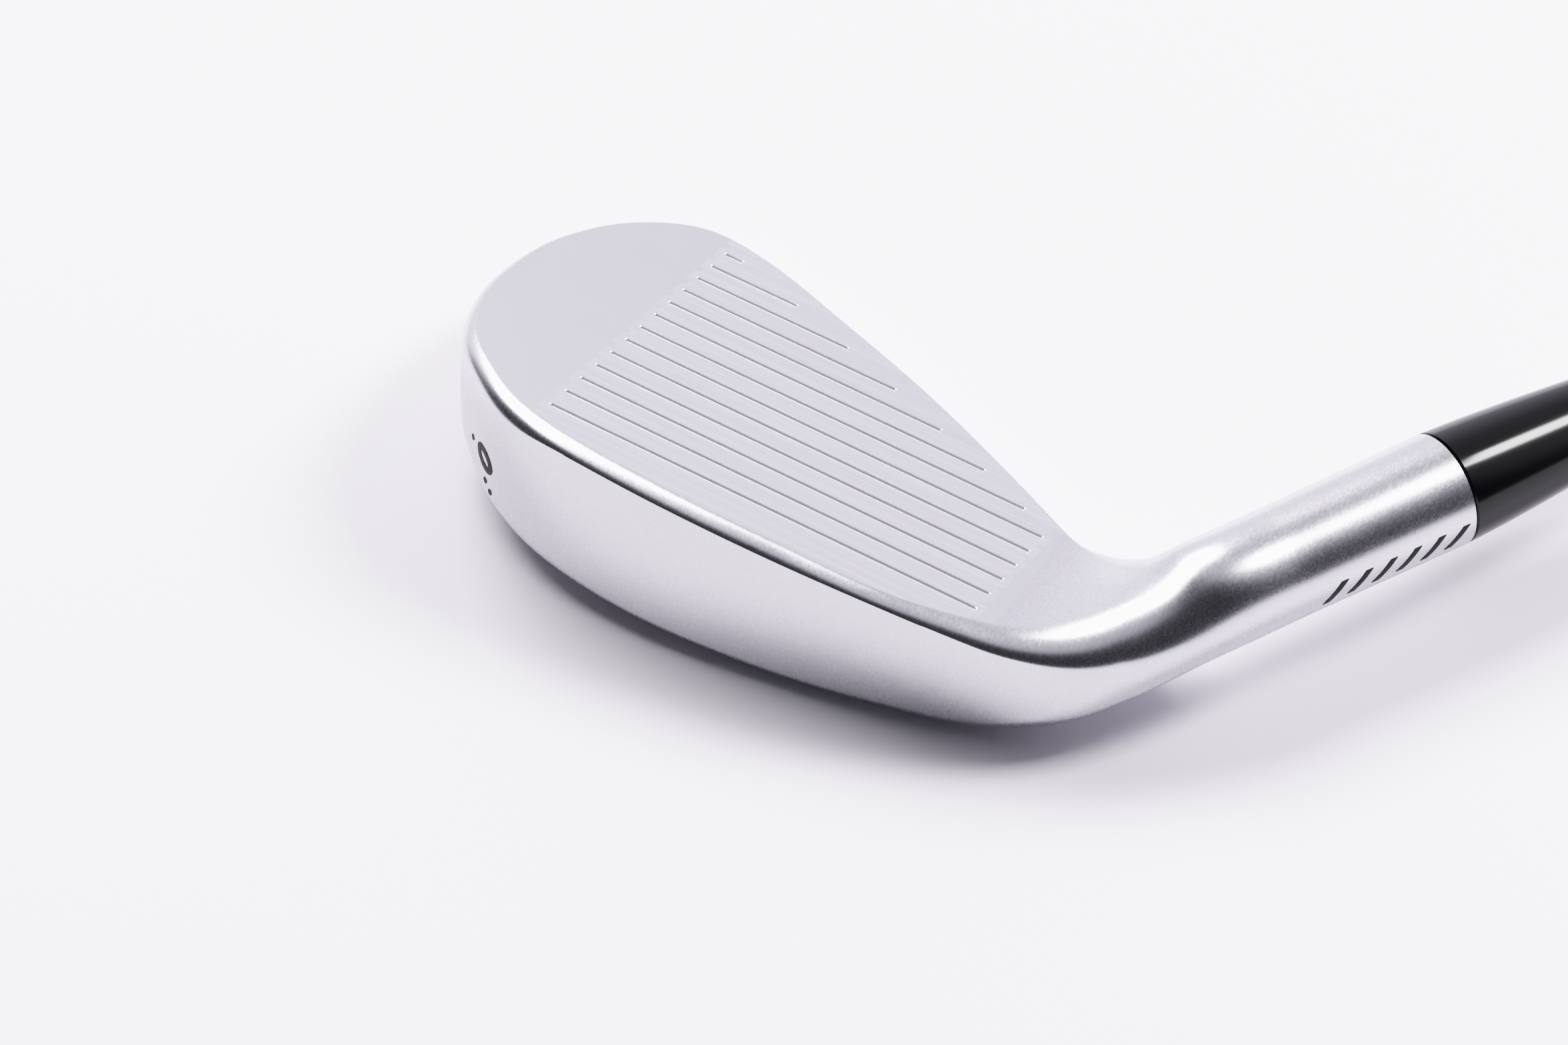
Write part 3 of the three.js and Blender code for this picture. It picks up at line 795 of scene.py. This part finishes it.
def build_toe_marks(head, material):
    normal = unit(np.array(TOE_RING_NORMAL))
    long_way = np.array(TOE_RING_LONG)
    long_way = unit(long_way - normal * (long_way @ normal))
    short_way = np.cross(normal, long_way)
    spots, facings = [], []
    long_half, short_half = TOE_RING_HALF
    for angle in np.linspace(0, 2 * pi, RING_STEPS, endpoint=False):
        row = []
        for inset in np.linspace(TOE_RING_LINE, 0, PATCH_ROWS):
            along = long_way * (long_half - inset) * cos(angle)
            across = short_way * (short_half - inset) * sin(angle)
            row.append(TOE_RING + along + across)
        spot, facing = on_surface(head, row)
        spots.append(spot)
        facings.append(facing)
    paint_patch("toe_ring", spots, facings, material, wrapped=True)
    for i, centre in enumerate(TOE_DOTS):
        spots, facings = [], []
        for turn in np.linspace(0.06, 0.94, PATCH_STEPS) * pi:
            across = TOE_DOT_RADIUS * sin(turn) * np.linspace(-1, 1, PATCH_ROWS)
            row = [centre + long_way * TOE_DOT_RADIUS * cos(turn) + short_way * step for step in across]
            spot, facing = on_surface(head, row)
            spots.append(spot)
            facings.append(facing)
        paint_patch(f"toe_dot_{i + 1}", spots, facings, material)


def build_hosel_marks(material):
    around = np.cross(SHAFT_AXIS, CROTCH_SIDE)
    low, high = DASH_ANGLES
    distances, radii = zip(*sorted(HOSEL_STATIONS))
    for i in range(DASH_COUNT):
        spots, facings = [], []
        for t in np.linspace(0, 1, PATCH_STEPS):
            angle = low + (high - low) * t
            facing = CROTCH_SIDE * cos(angle) + around * sin(angle)
            row = []
            for step in np.linspace(0, DASH_WIDTH, PATCH_ROWS):
                distance = DASH_FIRST + DASH_PITCH * i + DASH_LENGTH * t + step
                radius = np.interp(distance, distances, radii)
                row.append(HOSEL_TOP + SHAFT_AXIS * distance + facing * radius)
            spots.append(np.array(row))
            facings.append(facing)
        paint_patch(f"hosel_dash_{i + 1}", spots, facings, material)


# ---------------------------------------------------------------- shaft line

FERRULE_START = 0.3
FERRULE_RADIUS = 6.72
FERRULE_EDGE = 0.15
FERRULE_LENGTH = 23.6
FERRULE_TAPER = 1.64
FERRULE_CURVE = 1.35
FERRULE_END = [(24.6, 5.0), (24.95, 4.93)]


def build_ferrule():
    inside = TIP_RADIUS + CLEARANCE
    shoulder = FERRULE_START + FERRULE_EDGE
    outer = [(FERRULE_START, FERRULE_RADIUS - FERRULE_EDGE), (shoulder, FERRULE_RADIUS)]
    for t in np.linspace(0, 1, 24)[1:]:
        outer.append((shoulder + t * FERRULE_LENGTH, FERRULE_RADIUS - FERRULE_TAPER * t**FERRULE_CURVE))
    outer += FERRULE_END
    inner = [(FERRULE_START, inside), (FERRULE_END[-1][0], inside)]
    ferrule = turned("ferrule_collar", sleeve(outer, inner), segments=128)
    smooth(ferrule, 35)
    dress(ferrule, ferrule_plastic())
    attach(ferrule, "root")
    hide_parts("ferrule")


STEP_BLEND = 1.2


def build_shaft():
    outer = [(SHAFT_TIP, TIP_RADIUS)]
    step_length = (LAST_STEP - FIRST_STEP) / (STEP_COUNT - 1)
    step_rise = (BUTT_RADIUS - TIP_RADIUS) / STEP_COUNT
    for i in range(STEP_COUNT):
        for t in np.linspace(0, 1, 6):
            rise = t * t * (3 - 2 * t)
            outer.append((FIRST_STEP + i * step_length + STEP_BLEND * t, TIP_RADIUS + (i + rise) * step_rise))
    outer.append((SHAFT_BUTT, BUTT_RADIUS))
    inner = [
        (SHAFT_TIP, TIP_RADIUS - TIP_WALL), (FIRST_STEP, TIP_RADIUS - TIP_WALL),
        (LAST_STEP, BUTT_RADIUS - BUTT_WALL), (SHAFT_BUTT, BUTT_RADIUS - BUTT_WALL),
    ]
    shaft = turned("stepped_shaft", sleeve(outer, inner))
    smooth(shaft, 40)
    dress(shaft, shaft_chrome())
    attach(shaft, "root")
    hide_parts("shaft")


TAPE_THICKNESS = 0.3
GRIP_INNER = BUTT_RADIUS + CLEARANCE + TAPE_THICKNESS + CLEARANCE
CAP_THICKNESS = 3.2
CAP_GAP = 0.3
GRIP_END = BUTT_END - CAP_THICKNESS - CAP_GAP
GRIP_LIP = [(0, 8.9), (0.3, 9.25), (1.0, 9.55), (2.4, 9.6), (3.8, 9.55), (4.6, 9.25)]
GRIP_LIP_END = 5.4
GRIP_LINE = [(5, 9.1), (60, 9.9), (130, 10.8), (200, 12.0), (245, 13.0), (263.5, 13.4)]
GRIP_EDGE = 0.6
GRIP_RING_PITCH = 0.55
PLAIN_BANDS = [(0, 9), (84, 88), (172, 176), (254, 268)]
PATTERN_LANES = 24
PATTERN_PITCH = 4.4
CHANNEL_DEPTH = 0.42
CHANNEL_SHARE = 0.16


def grip_radius(distance):
    along = [point[0] + GRIP_MOUTH for point in GRIP_LINE]
    return float(np.interp(distance, along, [point[1] for point in GRIP_LINE]))


def grip_relief(distance, radius, angles):
    """Moulded pattern on the outer wall: rows of slanted lozenges between plain bands."""
    if radius <= GRIP_INNER + CLEARANCE:
        return 0 * angles
    along = distance - GRIP_MOUTH
    if any(low <= along <= high for low, high in PLAIN_BANDS):
        return 0 * angles
    lanes = angles * PATTERN_LANES / (2 * pi)
    rows = along / PATTERN_PITCH
    first = np.abs(((lanes + rows) % 1) - 0.5)
    second = np.abs(((lanes - rows) % 1) - 0.5)
    channel = np.minimum(first, second)
    return CHANNEL_DEPTH * np.clip(1 - channel / CHANNEL_SHARE, 0, 1)


def build_grip():
    outer = [(GRIP_MOUTH + along, radius) for along, radius in GRIP_LIP]
    for distance in np.arange(GRIP_MOUTH + GRIP_LIP_END, GRIP_END - GRIP_EDGE, GRIP_RING_PITCH):
        outer.append((distance, grip_radius(distance)))
    outer.append((GRIP_END, grip_radius(GRIP_END) - 0.1))
    inner = [(GRIP_MOUTH, GRIP_INNER), (GRIP_END, GRIP_INNER)]
    grip = turned("grip_sleeve", sleeve(outer, inner), segments=168, relief=grip_relief)
    smooth(grip, 40)
    dress(grip, grip_rubber())
    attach(grip, "root")
    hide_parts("grip")


CAP_RADIUS = 13.4
CAP_ROUNDING = 1.9
CAP_RING = [(0, 9.4), (0.5, 8.9), (0.5, 8.5), (0, 8.0)]
CAP_VENT = 1.5
VENT_CHAMFER = [(0, 0.4), (0.3, 0)]


def build_grip_cap():
    base = BUTT_END - CAP_THICKNESS
    outer = [(base, CAP_RADIUS - 0.1), (base + 0.2, CAP_RADIUS)]
    centre_along, centre_out = BUTT_END - CAP_ROUNDING, CAP_RADIUS - CAP_ROUNDING
    for angle in np.linspace(0, pi / 2, 9):
        outer.append((centre_along + CAP_ROUNDING * sin(angle), centre_out + CAP_ROUNDING * cos(angle)))
    outer += [(BUTT_END - depth, radius) for depth, radius in CAP_RING]
    outer += [(BUTT_END - depth, CAP_VENT + wider) for depth, wider in VENT_CHAMFER]
    cap = turned("butt_cap", sleeve(outer, [(base, CAP_VENT)]), segments=128)
    smooth(cap, 35)
    dress(cap, grip_rubber())
    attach(cap, "root")
    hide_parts("grip_cap")


def dress_cad_nodes():
    """The pieces kept from the CAD model."""
    looks = {
        "hosel_bond": simple_look("cured_epoxy", (0.42, 0.33, 0.12), (0.55, 0.45, 0.2), 0.3, 0.8),
        "tip_weight": simple_look(
            "turned_brass", (0.62, 0.44, 0.16), (0.75, 0.56, 0.24), 0.25, 3.0, metal=1.0
        ),
        "grip_tape": simple_look("paper_tape", (0.55, 0.51, 0.42), (0.68, 0.65, 0.56), 0.8, 2.0),
        "shaft_label": simple_look("plain_film", (0.10, 0.105, 0.12), (0.15, 0.155, 0.17), 0.35, 1.0),
    }
    for node, material in looks.items():
        dress(frame["nodes"][node], material)


# ---------------------------------------------------------------- camera, floor and light
# The camera looks at the head from in front of the sole. Its directions are given in the head frame.

CAMERA_PLACE = (179.0, -471.8, 322.3)
CAMERA_RIGHT = (0.8717, 0.4324, 0.2306)
CAMERA_DOWN = (0.4206, -0.4186, -0.8049)
LENS_MM = 122.45
SENSOR_MM = 36
NEAREST_MM = 10

FLOOR_HALF = 3000
FLOOR_STEPS = 24
FLOOR_LEVEL = -0.02

LIGHT_COLOUR = (1, 0.985, 1)
ROOM_TONES = [(0.0, 0.60), (0.42, 0.52), (0.66, 0.30), (0.85, 0.24), (1.0, 0.28)]
ROOM_TINT = (1, 0.97, 1.10)
DARK_COLOUR = (0.018, 0.018, 0.022, 1)
DARK_TURN = radians(38)
DARK_FROM = 0.05
DARK_TO = 0.40

# the tone curve: its value for the open floor, its two bends, the brightest light and where it is sampled
FLOOR_TONE = 0.945
SHOULDER = 3.6
TOE = 1.22
BRIGHTEST = 2.0
TONES = (0.02, 0.05, 0.10, 0.16, 0.25, 0.36, 0.5, 0.7)


def build_camera():
    right = Vector(CAMERA_RIGHT).normalized()
    down = Vector(CAMERA_DOWN)
    down = (down - right * down.dot(right)).normalized()
    back = right.cross(-down)
    place = Matrix([[right[i], -down[i], back[i], CAMERA_PLACE[i] * MM] for i in range(3)] + [[0, 0, 0, 1]])
    data = bpy.data.cameras.new("camera")
    data.lens = LENS_MM
    data.sensor_width = SENSOR_MM
    data.clip_start = NEAREST_MM * MM
    camera = bpy.data.objects.new("camera", data)
    camera.matrix_world = HEAD @ place
    bpy.context.scene.collection.objects.link(camera)
    bpy.context.scene.camera = camera
    return camera


def floor_paper():
    look = Look("studio_paper", Matrix.Identity(4))
    tone = look.noise(0.004, detail=1.0)
    fibre = look.noise(0.8, detail=3.0)
    colour = look.mix(tone, (0.92, 0.90, 0.95, 1), (0.94, 0.92, 0.97, 1))
    return look.set(Base_Color=colour, Roughness=0.6, Normal=look.bump(fibre, 0.01, 0.2))


def build_floor():
    width = FLOOR_STEPS + 1
    grid = np.linspace(-FLOOR_HALF, FLOOR_HALF, width)
    points = [(x, y, FLOOR_LEVEL) for y in grid for x in grid]
    faces = [
        (j * width + i, j * width + i + 1, (j + 1) * width + i + 1, (j + 1) * width + i)
        for j in range(FLOOR_STEPS) for i in range(FLOOR_STEPS)
    ]
    floor = new_object("floor", points, faces, Matrix.Identity(4))
    dress(floor, floor_paper())


def head_centre():
    low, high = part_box("head")
    return (low + high) / 2


def build_light(camera, name, azimuth, elevation, distance, width, height, radiance):
    """A soft box aimed at the head. Azimuth 0 is straight away from the camera, 90 to its right."""
    forward = camera.matrix_world.to_3x3() @ Vector((0, 0, -1))
    forward.z = 0
    forward.normalize()
    right = forward.cross(Vector((0, 0, 1)))
    turn, rise = radians(azimuth), radians(elevation)
    towards = (forward * cos(turn) + right * sin(turn)) * cos(rise) + Vector((0, 0, sin(rise)))
    data = bpy.data.lights.new(name, "AREA")
    data.shape = "RECTANGLE"
    data.size = width
    data.size_y = height
    data.energy = radiance * width * height * pi
    data.color = LIGHT_COLOUR
    light = bpy.data.objects.new(name, data)
    light.location = head_centre() + towards * distance
    light.rotation_euler = towards.to_track_quat("Z", "Y").to_euler()
    bpy.context.scene.collection.objects.link(light)


def film_tone(share):
    """The tone shown for a share of the brightest light; the open floor, at 1, is shown as FLOOR_TONE."""
    light = share * BRIGHTEST
    return FLOOR_TONE * (1 - exp(-SHOULDER * light**TOE)) / (1 - exp(-SHOULDER))


def set_tones():
    """A photographic tone curve: bright tones are compressed, and the open floor comes out nearly white."""
    view = bpy.context.scene.view_settings
    view.view_transform = "Standard"
    view.use_curve_mapping = True
    mapping = view.curve_mapping
    mapping.white_level = [BRIGHTEST] * 3
    curve = mapping.curves[3]
    for tone in TONES:
        curve.points.new(tone, film_tone(tone))
    curve.points[-1].location = (1, film_tone(1))
    mapping.update()


def build_room(camera):
    """A pale studio: light walls and ceiling, with the dark room behind the camera."""
    world = bpy.data.worlds.new("studio")
    bpy.context.scene.world = world
    world.use_nodes = True
    tree = world.node_tree
    direction = tree.nodes.new("ShaderNodeTexCoord").outputs["Generated"]

    # brightness by height, from the floor's horizon to the ceiling
    parts = tree.nodes.new("ShaderNodeSeparateXYZ")
    tree.links.new(direction, parts.inputs[0])
    height = tree.nodes.new("ShaderNodeValToRGB")
    ramp = height.color_ramp
    for place, _ in ROOM_TONES[1:-1]:
        ramp.elements.new(place)
    for element, (_, tone) in zip(ramp.elements, ROOM_TONES, strict=True):
        element.color = (*(tone * share for share in ROOM_TINT), 1)
    tree.links.new(parts.outputs["Z"], height.inputs[0])

    # the dark room starts level with the object, deepens towards the camera and reaches round to its left
    facing = tree.nodes.new("ShaderNodeMath")
    facing.operation = "MAXIMUM"
    for i, turn in enumerate((0, DARK_TURN)):
        behind = camera.matrix_world.to_3x3() @ Vector((-sin(turn), 0, cos(turn)))
        behind.z = 0
        towards = tree.nodes.new("ShaderNodeVectorMath")
        towards.operation = "DOT_PRODUCT"
        towards.inputs[1].default_value = behind.normalized()
        tree.links.new(direction, towards.inputs[0])
        tree.links.new(towards.outputs["Value"], facing.inputs[i])
    dark = tree.nodes.new("ShaderNodeMapRange")
    dark.interpolation_type = "SMOOTHSTEP"
    dark.inputs["From Min"].default_value = DARK_FROM
    dark.inputs["From Max"].default_value = DARK_TO
    tree.links.new(facing.outputs[0], dark.inputs["Value"])

    mix = tree.nodes.new("ShaderNodeMix")
    mix.data_type = "RGBA"
    tree.links.new(dark.outputs[0], mix.inputs["Factor"])
    tree.links.new(height.outputs[0], mix.inputs["A"])
    mix.inputs["B"].default_value = DARK_COLOUR
    background = tree.nodes["Background"]
    tree.links.new(next(out for out in mix.outputs if out.type == "RGBA"), background.inputs["Color"])


# ---------------------------------------------------------------- scene

camera = build_camera()
build_floor()
build_room(camera)
build_light(
    camera, "soft_box_right", azimuth=74, elevation=44, distance=0.75, width=0.17, height=0.30, radiance=15
)
build_light(
    camera, "soft_box_left", azimuth=-33, elevation=51, distance=1.0, width=0.75, height=0.45, radiance=5.5
)
set_tones()

club_head = build_head()
paint = mark_paint()
build_toe_marks(club_head, paint)
build_hosel_marks(paint)
build_ferrule()
build_shaft()
build_grip()
build_grip_cap()
dress_cad_nodes()
